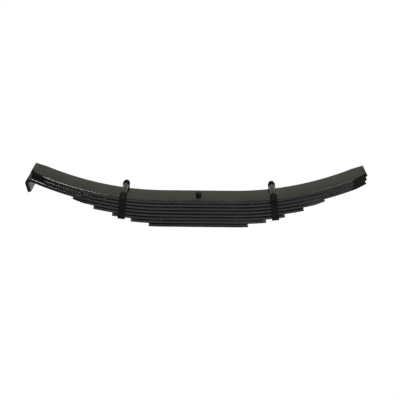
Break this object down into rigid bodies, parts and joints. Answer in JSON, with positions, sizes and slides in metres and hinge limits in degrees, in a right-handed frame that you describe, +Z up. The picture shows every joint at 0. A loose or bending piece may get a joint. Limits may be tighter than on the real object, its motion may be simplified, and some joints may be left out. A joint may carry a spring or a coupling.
{
  "type": "leaf spring",
  "caption": "Stacked trailer slipper leaf spring, bowed upwards, with a hook at one end, a centre bolt and riveted rebound clips.",
  "frame": {"origin": "centre of the centre bolt's lower end face", "axes": "+X along the leaves towards the plain end, away from the hook; +Y across the leaves; +Z up, from the axle seat towards the top leaf"},
  "size_m": [1.0304, 0.1053, 0.1989],
  "materials": {
    "leaf_paint": "semi-gloss",
    "strap_paint": "satin",
    "fastener_paint": "satin",
    "tube_paint": "semi-gloss"
  },
  "bodies": {
    "spring_pack": {"leaf_1": "leaf_paint", "leaf_2": "leaf_paint", "leaf_3": "leaf_paint", "leaf_4": "leaf_paint", "leaf_5": "leaf_paint", "leaf_6": "leaf_paint", "leaf_7": "leaf_paint", "leaf_8": "leaf_paint", "centre_bolt": "fastener_paint", "centre_bolt_nut": "fastener_paint", "left_clip_strap": "strap_paint", "left_clip_bolt": "fastener_paint", "left_clip_nut": "fastener_paint", "left_clip_rivet": "fastener_paint", "right_clip_strap": "strap_paint", "right_clip_bolt": "fastener_paint", "right_clip_nut": "fastener_paint", "right_clip_rivet": "fastener_paint"},
    "left_clip_tube": {"left_clip_spacer_tube": "tube_paint"},
    "right_clip_tube": {"right_clip_spacer_tube": "tube_paint"}
  },
  "joints": [
    {"name": "left_tube_spin", "type": "hinge", "parent": "spring_pack", "child": "left_clip_tube", "pos_m": [-0.22708, 0, 0.12401], "axis": [0, 1, 0], "continuous": true},
    {"name": "right_tube_spin", "type": "hinge", "parent": "spring_pack", "child": "right_clip_tube", "pos_m": [0.22708, 0, 0.12401], "axis": [0, 1, 0], "continuous": true}
  ]
}
